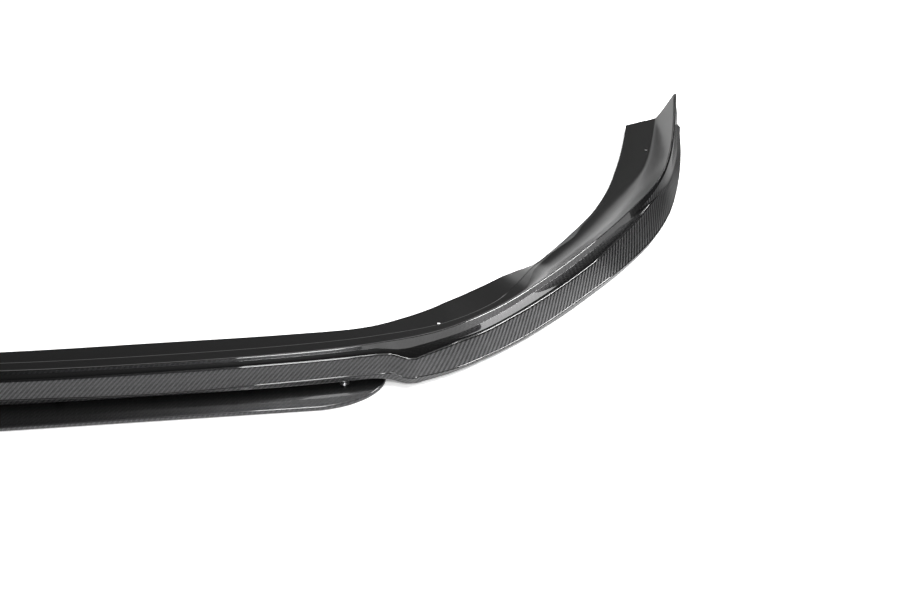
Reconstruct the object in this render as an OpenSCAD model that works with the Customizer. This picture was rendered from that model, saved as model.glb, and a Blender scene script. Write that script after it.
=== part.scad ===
// Front splitter lip for a car: one moulded lip panel and a lower centre blade that hangs below it on
// screwed sleeves. Millimetres, +Z up, -Y is the front of the car, X = 0 is the car's middle plane and
// Z = 0 is the surface that the lip rests on.

/* [Panel] */
// Thickness of the moulded lip panel
wall = 2.5; // [1.6:0.1:3]
// Outer radius of the rolled lower edge
edge_r = 3.6; // [3.2:0.1:5]
// Width of the level return behind the rolled lower edge, at the centre
return_w = 27; // [24:1:34]
// Width of the same return on the wings
wing_return_w = 13; // [8:1:20]

/* [Centre section] */
// Distance from the centre blade's end to the kink where a wing begins
kink_gap = 0; // [0:1:30]
// Distance of the panel's reference line in front of or behind Y = 0 at the middle
spine_y = 17; // [0:1:30]
// Height of the lower edge over the ground
centre_ground = 16; // [14:0.5:22]
// Height of the face between its chin and its brow
centre_face_h = 35; // [30:1:42]
// How far the brow lies behind the chin
centre_lean = 8.5; // [4:0.5:14]
// Depth of the ledge between the brow and the rim
centre_ledge_w = 12; // [9:0.5:16]
// Rise from the rim to the crest
centre_strip_h = 4; // [3:0.5:5]
// Depth of the level flange behind its step
centre_flange_w = 26; // [20:1:34]
// Height of the step that the bumper's lower edge sits against
step_h = 3; // [2:0.5:4]
// Depth of that step
step_w = 2; // [1.5:0.5:3]

/* [Wings] */
// Length of a wing along the panel's reference line
wing_len = 851; // [800:1:900]
// How far the wing's face stands in front of the centre face, just past the kink
kink_forward = 12; // [8:1:16]
// Height of the wing's face between its chin and its brow
wing_face_h = 40; // [34:1:46]
// Depth of the ledge on the wings
wing_ledge_w = 16.5; // [12:0.5:20]
// Rise from the wing's rim to its crest
wing_strip_h = 6; // [4:0.5:8]

/* [Wing ends] */
// Height of the tab at the wing's end over the ground
tab_z = 12; // [8:1:18]
// Depth of the level tab at the wing's end
tab_w = 49; // [40:1:60]
// Height of the end wall's top over the ground
end_wall_z = 64; // [56:1:72]
// Height of the fin along the foot of the end wall
fin_h = 8; // [7:0.5:10]

/* [Centre blade] */
// Half of the blade's length
blade_half = 350; // [330:1:420]
// Distance of the blade's front edge in front of Y = 0
blade_front = 41; // [30:1:55]
// Distance of the blade's rear edge behind Y = 0
blade_rear = 38; // [34:1:60]
// Length of the blade's rounded end, along X
blade_round = 110; // [80:1:150]
// Thickness of the blade at its front edge
blade_t = 8.5; // [7:0.5:10]
// Thickness of its level rear part
blade_rear_t = 5.5; // [5:0.5:7]
// Radius of the blade's edges
blade_edge_r = 2.4; // [1.6:0.2:2.4]

/* [Fasteners] */
// Distance of the outer screws before the blade's ends; the next ones stand halfway to the middle screw
screw_end = 64; // [56:1:80]
// Distance behind Y = 0 of the middle screw, of the halfway ones and of the outer ones
screw_y = [14, 14, 8];
// Shank diameter of the screws
screw_d = 5; // [4:0.5:6]
// Clearance between a shank and its bore, on the radius
bore_gap = 0.25; // [0.1:0.05:0.5]
// Outer diameter of the sleeves between blade and panel
sleeve_d = 10; // [9:0.5:12]
// Outer diameter of the collar at each sleeve's foot
collar_d = 15; // [13:0.5:16]
// Height of that collar
collar_h = 1.5; // [1:0.1:2]
// Thickness of the washers
washer_t = 1; // [0.8:0.1:1.5]
// Outer diameter of the washers
washer_d = 10; // [9:0.5:11]
// Height of the screw heads
head_h = 2.4; // [2:0.1:2.6]
// Height of the nuts
nut_h = 4.5; // [3:0.5:6]
// Width of the nuts across their flats
nut_w = 8; // [8:0.5:9]

/* [Mounting holes] */
// Diameter of the holes for the bumper's screws
hole_d = 5.5; // [4.5:0.5:7]
// Distance of the flange holes past the kink
flange_hole_at = 94; // [60:1:140]
// Distance of the tab holes before the wing's end
tab_hole_back = 107; // [80:1:160]
// Distance of the tab holes in from the tab's rear edge
tab_hole_in = 42; // [20:1:43]

/* [Hidden] */
$fn = 48;

carbon = [0.16, 0.16, 0.17];
steel = [0.62, 0.63, 0.65];
kink_at = blade_half + kink_gap;
lip_len = kink_at + wing_len;

// A track is a list of [distance, value] pairs. Between two pairs its value follows a smooth curve that
// never runs past either of them. Distances on a wing are measured from the kink.
function wing(pairs) = [for (p = pairs) [kink_at + p[0], p[1]]];
function rise(t, i) = (t[i + 1][1] - t[i][1]) / (t[i + 1][0] - t[i][0]);
function slope(t, i) =
    i == 0 || i == len(t) - 1 ? 0
    : rise(t, i - 1) * rise(t, i) <= 0 ? 0
    : 2 * rise(t, i - 1) * rise(t, i) / (rise(t, i - 1) + rise(t, i));
function seek(t, s, i = 0) = i >= len(t) - 2 || s < t[i + 1][0] ? i : seek(t, s, i + 1);
function hermite(t, s, i) =
    let (w = t[i + 1][0] - t[i][0], u = (s - t[i][0]) / w)
    (1 + 2 * u) * pow(1 - u, 2) * t[i][1] + u * pow(1 - u, 2) * w * slope(t, i)
    + u * u * (3 - 2 * u) * t[i + 1][1] + u * u * (u - 1) * w * slope(t, i + 1);
function along(t, s) =
    s <= t[0][0] ? t[0][1] : s >= t[len(t) - 1][0] ? t[len(t) - 1][1] : hermite(t, s, seek(t, s));

// The reference line seen from above: its heading in degrees, and its points at every path_step
heading = concat([[0, 0]], wing([[-20, 3.8], [70, 9.6], [150, 25.4], [290, 38.2], [440, 45], [550, 53],
                                 [650, 67], [860, 77]]));
path_step = 5;
path = [for (i = 0, p = [0, spine_y]; i <= lip_len / path_step + 1;
             i = i + 1,
             h = along(heading, (i - 0.5) * path_step),
             p = p + path_step * [cos(h), sin(h)]) p];

// The point at distance s along the line, d inwards from it and z over the ground
function place(s, d, z) =
    let (i = floor(s / path_step),
         h = along(heading, s),
         q = path[i] + (s - i * path_step) * [cos(h), sin(h)])
    [q[0] - d * sin(h), q[1] + d * cos(h), z];

// Heights that follow from the sizes above
centre_chin_z = centre_ground + 7;
centre_brow_z = centre_chin_z + centre_face_h;
centre_rim_z = centre_brow_z + 1.5;
centre_crest_z = centre_rim_z + centre_strip_h;
centre_seat_z = centre_crest_z - 1.5;
flange_z = centre_seat_z - step_h;
wing_chin_z = 11;
wing_brow_z = wing_chin_z + wing_face_h;
wing_rim_z = wing_brow_z + 3;
wing_crest_z = wing_rim_z + wing_strip_h;

// Distances in from the reference line
centre_brow_d = -14;
centre_chin_d = centre_brow_d - centre_lean;
centre_rim_d = centre_brow_d + centre_ledge_w;
centre_crest_d = 1.5;
centre_step_d = 20;
centre_rear_d = centre_step_d + step_w + centre_flange_w;
end_rim_d = 11;
end_foot_d = 44.5;

// Tracks of the section's corners, from the panel's rear edge over the crest to its lower edge
rear_d = concat([[0, centre_rear_d]], wing([[-150, centre_rear_d - 1.5], [-50, centre_rear_d - 3],
    [-20, centre_rear_d - 1], [0, 50], [40, 58.6], [90, 68], [150, 75], [210, 77], [350, 76.5], [430, 79.6],
    [510, 84.4], [590, 90.5], [630, 92.2], [670, end_foot_d + tab_w], [851, end_foot_d + tab_w]]));
rear_z = concat([[0, flange_z]], wing([[-50, flange_z], [75, flange_z - 3], [115, flange_z - 3], [150, 54],
    [210, 50], [255, 46.5], [290, 39], [345, 25], [390, 23], [450, 21], [510, 19], [590, 16],
    [700, tab_z], [851, tab_z]]));
step_d = concat([[0, centre_step_d]], wing([[-50, 22.3], [10, 25.4], [90, 29.3], [120, 30.5], [150, 31.2],
    [210, 33.5], [259, 44], [319, 66], [350, 73.5], [510, 81.5], [600, 79], [696, 63],
    [851, end_foot_d + 16]]));
foot_d = concat([[0, centre_crest_d + 4]], wing([[-20, 10.5], [90, 18.5], [150, 22.5], [210, 24],
    [259, 27.5], [290, 43.5], [319, 60.5], [350, 70], [390, 74], [510, 79.5], [558, 77], [600, 71],
    [696, 49], [750, 46], [851, end_foot_d]]));
foot_z = concat([[0, centre_seat_z]], wing([[-20, centre_seat_z], [90, 59.5], [150, 58], [210, 56],
    [259, 54], [290, 46], [319, 36], [350, 27], [390, 24.5], [510, 20.5], [600, 16.5],
    [700, tab_z + 0.5], [851, tab_z]]));
crest_d = concat([[0, centre_crest_d]], wing([[-50, 3.8], [-20, 5.7], [10, 7.7], [40, 9.4], [70, 11.7],
    [90, 13.7], [120, 16.2], [150, 18], [350, 19], [430, 18], [510, 15.6], [550, 13], [610, 7.5],
    [650, 5.5], [710, 7.5], [780, 11.8], [851, end_rim_d + 4]]));
crest_z = concat([[0, centre_crest_z]], wing([[-20, centre_crest_z], [90, wing_crest_z + 2],
    [150, wing_crest_z + 1], [210, wing_crest_z], [430, wing_crest_z], [550, end_wall_z - 3],
    [650, end_wall_z - 1.5], [851, end_wall_z - 0.5]]));
rim_d = concat([[0, centre_rim_d]], wing([[-150, centre_rim_d + 0.4], [-20, centre_rim_d + 1.5],
    [-10, centre_rim_d + 1], [0, -3], [10, -5], [20, -6.5], [35, -6], [50, -3.4], [70, -0.3], [90, 2.6],
    [120, 5.1], [150, 6.6], [210, 9.5], [260, 11], [350, 10], [430, 10.2], [510, 7.1], [590, 3.2],
    [640, 1.4], [670, 1.8], [710, 3.7], [780, 8], [851, end_rim_d]]));
rim_z = concat([[0, centre_rim_z]], wing([[-20, centre_rim_z], [40, wing_rim_z + 2.5],
    [150, wing_rim_z + 0.5], [210, wing_rim_z + 0.5], [270, wing_rim_z + 1], [350, wing_rim_z + 0.5],
    [430, wing_rim_z + 1], [550, wing_rim_z + 1.5], [610, end_wall_z - 5], [650, end_wall_z - 4],
    [710, end_wall_z - 3.5], [851, end_wall_z - 3]]));
brow_d = concat([[0, centre_brow_d]], wing([[-10, centre_brow_d + 0.4], [4, -14.4], [12, -17.5],
    [34, -16 - kink_forward], [42, -17 - kink_forward], [50, -26.4], [70, -20], [90, -15.2],
    [120, 6.6 - wing_ledge_w], [150, 7.1 - wing_ledge_w], [210, 9.5 - wing_ledge_w],
    [270, 9.5 - wing_ledge_w],
    [350, 8.5 - wing_ledge_w], [390, 8.3 - wing_ledge_w], [430, 11 - wing_ledge_w], [470, -4], [510, -3.2],
    [570, -2], [630, -6.5], [710, -4], [780, 0], [851, end_rim_d - 7]]));
brow_z = concat([[0, centre_brow_z]], wing([[-10, centre_brow_z], [40, wing_brow_z + 4],
    [90, wing_brow_z + 2.5], [150, wing_brow_z + 0.5], [210, wing_brow_z], [510, wing_brow_z + 0.5],
    [560, wing_brow_z - 1], [630, 34], [710, 19], [780, fin_h + 6], [851, fin_h + 5]]));
chin_d = concat([[0, centre_chin_d]], wing([[-20, centre_chin_d + 1.5], [-3, centre_chin_d + 0.8],
    [4, -23], [28, -21.5 - kink_forward], [36, -22 - kink_forward], [45, -32.2], [70, -29], [90, -26.5],
    [120, -22.8], [150, -20.3], [210, -19.6], [270, -20.2], [350, -21.5], [430, -25], [510, -26],
    [550, -24.5], [590, -22], [650, -17.5], [710, -12.5], [780, -7], [851, end_rim_d - 13]]));
chin_z = concat([[0, centre_chin_z]], wing([[-260, 24.5], [-190, 26.5], [-65, 27], [-30, 25.5],
    [-8, 24.8], [6, 26], [14, 25], [26, 22], [40, 19.5], [70, 16.5], [90, 15], [120, 13], [150, 12],
    [210, wing_chin_z], [290, wing_chin_z + 2], [370, wing_chin_z + 2], [510, wing_chin_z],
    [650, fin_h + 1], [780, fin_h], [851, fin_h]]));
low_d = concat([[0, centre_chin_d - 0.5]], wing([[-150, centre_chin_d - 1], [-20, centre_chin_d - 1],
    [-10, -24], [0, -25], [10, -26.5], [20, -29], [30, -30.5], [42, -30.7], [50, -29], [70, -25.7],
    [90, -23], [120, -19], [150, -17.6], [180, -17.5], [240, -17.8], [290, -20], [390, -22.5],
    [430, -23.7], [510, -25.6], [550, -23.3], [590, -21.5], [670, -16.2], [750, -9], [780, -6.1],
    [851, end_rim_d - 13]]));
keel_z = concat([[0, centre_ground]], wing([[-30, centre_ground], [0, 12], [25, 4], [40, 1.8], [70, 0.5],
    [100, 0], [851, 0]]));
turn_w = concat([[0, return_w]], wing([[-30, return_w], [40, wing_return_w], [851, wing_return_w * 0.7]]));
cove_bow = concat([[0, 0.5]], wing([[350, 0.5], [600, 0.6], [700, 0.8], [851, 0.85]]));
level = concat([[0, 0]], wing([[150, 0], [250, 1], [851, 1]]));

// How far each corner of the wing's cut end lies before the tip, and where that cut begins to show
end_cut = [43, 25, 24, 15, 13, 10, 5, 0, 0, 26, 28, 28, 29, 30, 30];
cut_in = concat([[0, 0]], wing([[wing_len - 135, 0], [wing_len, 1]]));

// The panel's upper side in its own section plane, as [inwards, up] corners from rear to lower edge
function bezier(a, b, c, t) = pow(1 - t, 2) * a + 2 * t * (1 - t) * b + t * t * c;
function skin(s) =
    let (rear = [along(rear_d, s), along(rear_z, s)],
         foot = [along(foot_d, s), along(foot_z, s)],
         crest = [along(crest_d, s), along(crest_z, s)],
         chin = [along(chin_d, s), along(chin_z, s)],
         keel = along(keel_z, s),
         bend = [crest[0] + along(cove_bow, s) * (foot[0] - crest[0]), foot[1]],
         sd = along(step_d, s),
         ramp = (sd - foot[0]) / (rear[0] - foot[0]),
         mid_z = foot[1] + ramp * (rear[1] - foot[1]),
         k = along(level, s),
         low = [along(low_d, s), keel + edge_r])
    [rear,
     [sd + step_w, rear[1] * (1 - k) + mid_z * k],
     [sd, foot[1] * (1 - k) + mid_z * k],
     foot,
     bezier(foot, bend, crest, 0.25),
     bezier(foot, bend, crest, 0.5),
     bezier(foot, bend, crest, 0.75),
     crest,
     [along(rim_d, s), along(rim_z, s)],
     [along(brow_d, s), along(brow_z, s)],
     chin,
     low,
     low + edge_r * [1 - cos(45), -sin(45)],
     low + edge_r * [1, -1],
     low + [edge_r + along(turn_w, s), -edge_r]];

// The panel's under side, one wall inside the upper one
function unit(v) = v / norm(v);
function inward(a, b) = let (u = unit(b - a)) [-u[1], u[0]];
function under(p, i) =
    let (a = i == 0 ? inward(p[0], p[1]) : inward(p[i - 1], p[i]),
         b = i == len(p) - 1 ? a : inward(p[i], p[i + 1]))
    p[i] + wall * (a + b) / (1 + a * b);

// One ring of the panel: the upper side's corners, then the under side's back again
function ring(s, side) =
    let (p = skin(s), n = len(p), back = along(cut_in, s),
         around = concat([for (i = [0:n - 1]) [i, p[i]]], [for (i = [n - 1:-1:0]) [i, under(p, i)]]))
    [for (e = around)
        let (q = place(s - back * end_cut[e[0]], e[1][0], e[1][1])) [side * q[0], q[1], q[2]]];

stations = concat([for (s = [30:30:kink_at - 20]) s], [for (s = [-12:8:52]) kink_at + s],
                  [for (s = [70:25:wing_len - 15]) kink_at + s], [lip_len]);

// A closed skin round a list of rings of the same length, with the two end rings closed pair by pair
module loft(rings) {
    m = len(rings[0]);
    last = (len(rings) - 1) * m;
    sides = [for (j = [0:len(rings) - 2]) for (i = [0:m - 1])
        let (a = j * m + i, b = j * m + (i + 1) % m)
        each [[a, b, a + m], [b, b + m, a + m]]];
    ends = [for (i = [0:m / 2 - 2])
        let (a = i, b = i + 1, c = m - 2 - i, d = m - 1 - i)
        each [[a, c, b], [a, d, c], [last + a, last + b, last + c], [last + a, last + c, last + d]]];
    polyhedron([for (r = rings) each r], concat(sides, ends), convexity = 10);
}

module panel_skin() {
    count = len(stations);
    loft(concat([for (i = [count - 1:-1:0]) ring(stations[i], -1)], [ring(0, 1)],
                [for (s = stations) ring(s, 1)]));
}

// Upright bore through the panel at [x, y], from below z = low to above z = high
module upright_bore(at, d, low, high) {
    translate([at[0], at[1], low]) cylinder(d = d, h = high - low);
}

flange_hole_s = kink_at + flange_hole_at;
tab_hole_s = lip_len - tab_hole_back;
flange_hole = place(flange_hole_s, along(step_d, flange_hole_s) + step_w + hole_d / 2 + 0.3,
                    along(rear_z, flange_hole_s));
tab_hole = place(tab_hole_s, along(rear_d, tab_hole_s) - tab_hole_in, along(rear_z, tab_hole_s));

module lip_panel() {
    color(carbon) difference() {
        panel_skin();
        for (side = [-1, 1]) {
            upright_bore([side * flange_hole[0], flange_hole[1]], hole_d, flange_hole[2] - 12,
                         flange_hole[2] + 12);
            upright_bore([side * tab_hole[0], tab_hole[1]], hole_d, tab_hole[2] - 12, tab_hole[2] + 12);
        }
        at_screws()
            upright_bore([0, 0], screw_d + 2 * bore_gap, centre_ground - 2, centre_ground + wall + 2);
    }
}

// Blade outline: straight front and rear edges with rounded ends, drawn in by inset all round. Its widest
// point is also where the top, which falls back from the front edge, turns level.
round_steps = 16;
widest_y = 20;
blade_x0 = blade_half - blade_round;
function blade_outline(inset) =
    let (a = blade_round - inset, front = blade_front - inset, rear = blade_rear - inset,
         end = [for (i = [0:round_steps])
             let (t = 90 * i / round_steps)
             [blade_x0 + a * sin(t), widest_y - (widest_y + front) * cos(t)]],
         back = [[blade_x0 + a - 4, rear - 6], [blade_x0 + a - 14, rear]])
    concat(end, back, [for (i = [1, 0]) [-back[i][0], back[i][1]]],
           [for (i = [round_steps:-1:0]) [-end[i][0], end[i][1]]]);
function blade_top(y) =
    let (fall = (blade_t - blade_rear_t) / (widest_y + blade_front - blade_edge_r))
    blade_rear_t + fall * max(0, widest_y - y);

module blade_body() {
    quarter = [0, 30, 60, 90];
    lower = [for (q = quarter) [for (p = blade_outline(blade_edge_r * (1 - sin(q))))
        [p[0], p[1], blade_edge_r * (1 - cos(q))]]];
    upper = [for (q = quarter) [for (p = blade_outline(blade_edge_r * (1 - cos(q))))
        [p[0], p[1], blade_top(p[1]) - blade_edge_r * (1 - sin(q))]]];
    rings = concat(lower, upper);
    m = len(rings[0]);
    top = (len(rings) - 1) * m;
    sides = [for (j = [0:len(rings) - 2]) for (i = [0:m - 1])
        let (a = j * m + i, b = j * m + (i + 1) % m)
        each [[a, a + m, b], [b, a + m, b + m]]];
    front_half = concat([for (i = [0:round_steps]) i], [for (i = [m - 1 - round_steps:m - 1]) i]);
    rear_half = [for (i = [round_steps:m - 1 - round_steps]) i];
    polyhedron([for (r = rings) each r],
               concat(sides, [[for (i = [0:m - 1]) i]],
                      [for (half = [front_half, rear_half])
                          [for (i = [len(half) - 1:-1:0]) top + half[i]]]), convexity = 4);
}

// Screws, from below: head in a counterbore of the blade, sleeve in a shallow seat on top of the blade,
// washer and nut on the panel's level return
screw_x = [0, (blade_half - screw_end) / 2, blade_half - screw_end];
head_d = 9;
head_z = 0.6;
seat_z = head_z + head_h;
counter_d = head_d + 1.4;
foot_seat_z = blade_rear_t;
nut_z = centre_ground + wall + washer_t;
shank_r = screw_d / 2;

module at_screws() {
    for (i = [0:len(screw_x) - 1]) for (side = screw_x[i] == 0 ? [1] : [-1, 1])
        translate([side * screw_x[i], screw_y[i], 0]) children();
}

module disc(inner_r, outer_r, low, high) {
    translate([0, 0, low]) difference() {
        cylinder(r = outer_r, h = high - low);
        translate([0, 0, -1]) cylinder(r = inner_r, h = high - low + 2);
    }
}

module centre_blade() {
    color(carbon) difference() {
        blade_body();
        at_screws() {
            translate([0, 0, -1]) cylinder(r = shank_r + bore_gap, h = blade_t + 2);
            translate([0, 0, -1]) cylinder(d = counter_d, h = seat_z + 1);
            translate([0, 0, foot_seat_z]) cylinder(d = collar_d + 1, h = blade_t);
        }
    }
}

module blade_sleeves() {
    color(steel) at_screws() difference() {
        union() {
            translate([0, 0, foot_seat_z]) cylinder(d = collar_d, h = collar_h);
            translate([0, 0, foot_seat_z]) cylinder(d = sleeve_d, h = centre_ground - foot_seat_z);
        }
        cylinder(r = shank_r + bore_gap, h = centre_ground + 1);
    }
}

module blade_screws() {
    color(steel) at_screws() difference() {
        union() {
            translate([0, 0, head_z]) cylinder(d1 = head_d - 2, d2 = head_d, h = head_h / 2);
            translate([0, 0, head_z + head_h / 2]) cylinder(d = head_d, h = head_h / 2);
            translate([0, 0, seat_z]) cylinder(r = shank_r, h = nut_z + nut_h + 1 - seat_z);
        }
        translate([0, 0, head_z - 1]) cylinder(r = shank_r * 0.65, h = 2.4, $fn = 6);
    }
}

module blade_washers() {
    color(steel) at_screws() disc(shank_r + bore_gap, washer_d / 2, nut_z - washer_t, nut_z);
}

module blade_nuts() {
    color(steel) at_screws() translate([0, 0, nut_z]) difference() {
        cylinder(d = nut_w / cos(30), h = nut_h, $fn = 6);
        translate([0, 0, -1]) cylinder(r = shank_r, h = nut_h + 2);
    }
}

lip_panel();
centre_blade();
blade_sleeves();
blade_screws();
blade_washers();
blade_nuts();
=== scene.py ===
# Front splitter lip in clear-coated twill laminate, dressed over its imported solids.
# Sizes are in millimetres in the part's own frame: +Z up, -Y to the front, X = 0 on the middle plane.
import math
import bpy
from mathutils import Matrix, Vector


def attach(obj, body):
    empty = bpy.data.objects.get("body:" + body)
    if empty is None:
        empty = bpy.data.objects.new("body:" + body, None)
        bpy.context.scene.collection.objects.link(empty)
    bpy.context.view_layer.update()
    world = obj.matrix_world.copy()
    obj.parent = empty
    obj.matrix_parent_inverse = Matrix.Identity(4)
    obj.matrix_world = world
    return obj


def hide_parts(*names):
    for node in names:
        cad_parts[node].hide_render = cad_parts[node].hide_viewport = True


MM = 0.001
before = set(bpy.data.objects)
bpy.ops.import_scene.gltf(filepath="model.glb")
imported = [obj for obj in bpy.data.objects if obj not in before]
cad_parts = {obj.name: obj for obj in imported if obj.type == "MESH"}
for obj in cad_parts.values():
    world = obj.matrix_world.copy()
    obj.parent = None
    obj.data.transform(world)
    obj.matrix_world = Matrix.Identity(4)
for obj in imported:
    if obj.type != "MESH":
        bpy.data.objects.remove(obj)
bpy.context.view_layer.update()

# The panel's driving sizes, as its solid has them
WALL = 2.5
EDGE_R = 3.6
KINK_AT = 350
WING_LEN = 851
SPINE_Y = 17
PATH_STEP = 5
KINK_FORWARD = 12
WING_LEDGE_W = 16.5
STEP_W = 2
CENTRE_GROUND = 16
CENTRE_CHIN_Z = CENTRE_GROUND + 7
CENTRE_BROW_Z = CENTRE_CHIN_Z + 35
CENTRE_RIM_Z = CENTRE_BROW_Z + 1.5
CENTRE_CREST_Z = CENTRE_RIM_Z + 4
CENTRE_SEAT_Z = CENTRE_CREST_Z - 1.5
FLANGE_Z = CENTRE_SEAT_Z - 3
CENTRE_BROW_D = -14
CENTRE_CHIN_D = CENTRE_BROW_D - 8.5
CENTRE_RIM_D = CENTRE_BROW_D + 12
CENTRE_CREST_D = 1.5
CENTRE_STEP_D = 20
CENTRE_REAR_D = CENTRE_STEP_D + STEP_W + 26
WING_CHIN_Z = 11
WING_BROW_Z = WING_CHIN_Z + 40
WING_RIM_Z = WING_BROW_Z + 3
WING_CREST_Z = WING_RIM_Z + 6
END_WALL_Z = 64
END_RIM_D = 11
END_FOOT_D = 44.5
TAB_Z = 12
TAB_W = 49
FIN_H = 8
RETURN_W = 27
WING_RETURN_W = 13
LIP_LEN = KINK_AT + WING_LEN


def wing(start, *pairs):
    """A track: its value at the middle, then (distance past the kink, value) pairs."""
    return [(0, start)] + [(KINK_AT + at, value) for at, value in pairs]


# Tracks along the lip: the reference line's heading in degrees, then each corner's distance in from that
# line (D) and its height (Z)
HEADING = wing(0, (-20, 3.8), (70, 9.6), (150, 25.4), (290, 38.2), (440, 45), (550, 53), (650, 67),
               (860, 77))
REAR_D = wing(CENTRE_REAR_D, (-150, CENTRE_REAR_D - 1.5), (-50, CENTRE_REAR_D - 3),
              (-20, CENTRE_REAR_D - 1), (0, 50), (40, 58.6), (90, 68), (150, 75), (210, 77), (350, 76.5),
              (430, 79.6), (510, 84.4), (590, 90.5), (630, 92.2), (670, END_FOOT_D + TAB_W),
              (WING_LEN, END_FOOT_D + TAB_W))
REAR_Z = wing(FLANGE_Z, (-50, FLANGE_Z), (75, FLANGE_Z - 3), (115, FLANGE_Z - 3), (150, 54), (210, 50),
              (255, 46.5), (290, 39), (345, 25), (390, 23), (450, 21), (510, 19), (590, 16), (700, TAB_Z),
              (WING_LEN, TAB_Z))
STEP_D = wing(CENTRE_STEP_D, (-50, 22.3), (10, 25.4), (90, 29.3), (120, 30.5), (150, 31.2), (210, 33.5),
              (259, 44), (319, 66), (350, 73.5), (510, 81.5), (600, 79), (696, 63),
              (WING_LEN, END_FOOT_D + 16))
FOOT_D = wing(CENTRE_CREST_D + 4, (-20, 10.5), (90, 18.5), (150, 22.5), (210, 24), (259, 27.5),
              (290, 43.5), (319, 60.5), (350, 70), (390, 74), (510, 79.5), (558, 77), (600, 71),
              (696, 49), (750, 46), (WING_LEN, END_FOOT_D))
FOOT_Z = wing(CENTRE_SEAT_Z, (-20, CENTRE_SEAT_Z), (90, 59.5), (150, 58), (210, 56), (259, 54), (290, 46),
              (319, 36), (350, 27), (390, 24.5), (510, 20.5), (600, 16.5), (700, TAB_Z + 0.5),
              (WING_LEN, TAB_Z))
CREST_D = wing(CENTRE_CREST_D, (-50, 3.8), (-20, 5.7), (10, 7.7), (40, 9.4), (70, 11.7), (90, 13.7),
               (120, 16.2), (150, 18), (350, 19), (430, 18), (510, 15.6), (550, 13), (610, 7.5),
               (650, 5.5), (710, 7.5), (780, 11.8), (WING_LEN, END_RIM_D + 4))
CREST_Z = wing(CENTRE_CREST_Z, (-20, CENTRE_CREST_Z), (90, WING_CREST_Z + 2), (150, WING_CREST_Z + 1),
               (210, WING_CREST_Z), (430, WING_CREST_Z), (550, END_WALL_Z - 3), (650, END_WALL_Z - 1.5),
               (WING_LEN, END_WALL_Z - 0.5))
RIM_D = wing(CENTRE_RIM_D, (-150, CENTRE_RIM_D + 0.4), (-20, CENTRE_RIM_D + 1.5), (-10, CENTRE_RIM_D + 1),
             (0, -3), (10, -5), (20, -6.5), (35, -6), (50, -3.4), (70, -0.3), (90, 2.6), (120, 5.1),
             (150, 6.6), (210, 9.5), (260, 11), (350, 10), (430, 10.2), (510, 7.1), (590, 3.2),
             (640, 1.4), (670, 1.8), (710, 3.7), (780, 8), (WING_LEN, END_RIM_D))
RIM_Z = wing(CENTRE_RIM_Z, (-20, CENTRE_RIM_Z), (40, WING_RIM_Z + 2.5), (150, WING_RIM_Z + 0.5),
             (210, WING_RIM_Z + 0.5), (270, WING_RIM_Z + 1), (350, WING_RIM_Z + 0.5),
             (430, WING_RIM_Z + 1), (550, WING_RIM_Z + 1.5), (610, END_WALL_Z - 5), (650, END_WALL_Z - 4),
             (710, END_WALL_Z - 3.5), (WING_LEN, END_WALL_Z - 3))
BROW_D = wing(CENTRE_BROW_D, (-10, CENTRE_BROW_D + 0.4), (4, -14.4), (12, -17.5),
              (34, -16 - KINK_FORWARD), (42, -17 - KINK_FORWARD), (50, -26.4), (70, -20), (90, -15.2),
              (120, 6.6 - WING_LEDGE_W), (150, 7.1 - WING_LEDGE_W), (210, 9.5 - WING_LEDGE_W),
              (270, 9.5 - WING_LEDGE_W), (350, 8.5 - WING_LEDGE_W), (390, 8.3 - WING_LEDGE_W),
              (430, 11 - WING_LEDGE_W), (470, -4), (510, -3.2), (570, -2), (630, -6.5), (710, -4),
              (780, 0), (WING_LEN, END_RIM_D - 7))
BROW_Z = wing(CENTRE_BROW_Z, (-10, CENTRE_BROW_Z), (40, WING_BROW_Z + 4), (90, WING_BROW_Z + 2.5),
              (150, WING_BROW_Z + 0.5), (210, WING_BROW_Z), (510, WING_BROW_Z + 0.5),
              (560, WING_BROW_Z - 1), (630, 34), (710, 19), (780, FIN_H + 6), (WING_LEN, FIN_H + 5))
CHIN_D = wing(CENTRE_CHIN_D, (-20, CENTRE_CHIN_D + 1.5), (-3, CENTRE_CHIN_D + 0.8), (4, -23),
              (28, -21.5 - KINK_FORWARD), (36, -22 - KINK_FORWARD), (45, -32.2), (70, -29), (90, -26.5),
              (120, -22.8), (150, -20.3), (210, -19.6), (270, -20.2), (350, -21.5), (430, -25),
              (510, -26), (550, -24.5), (590, -22), (650, -17.5), (710, -12.5), (780, -7),
              (WING_LEN, END_RIM_D - 13))
CHIN_Z = wing(CENTRE_CHIN_Z, (-260, 24.5), (-190, 26.5), (-65, 27), (-30, 25.5), (-8, 24.8), (6, 26),
              (14, 25), (26, 22), (40, 19.5), (70, 16.5), (90, 15), (120, 13), (150, 12),
              (210, WING_CHIN_Z), (290, WING_CHIN_Z + 2), (370, WING_CHIN_Z + 2), (510, WING_CHIN_Z),
              (650, FIN_H + 1), (780, FIN_H), (WING_LEN, FIN_H))
LOW_D = wing(CENTRE_CHIN_D - 0.5, (-150, CENTRE_CHIN_D - 1), (-20, CENTRE_CHIN_D - 1), (-10, -24),
             (0, -25), (10, -26.5), (20, -29), (30, -30.5), (42, -30.7), (50, -29), (70, -25.7),
             (90, -23), (120, -19), (150, -17.6), (180, -17.5), (240, -17.8), (290, -20), (390, -22.5),
             (430, -23.7), (510, -25.6), (550, -23.3), (590, -21.5), (670, -16.2), (750, -9), (780, -6.1),
             (WING_LEN, END_RIM_D - 13))
KEEL_Z = wing(CENTRE_GROUND, (-30, CENTRE_GROUND), (0, 12), (25, 4), (40, 1.8), (70, 0.5), (100, 0),
              (WING_LEN, 0))
TURN_W = wing(RETURN_W, (-30, RETURN_W), (40, WING_RETURN_W), (WING_LEN, WING_RETURN_W * 0.7))
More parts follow.
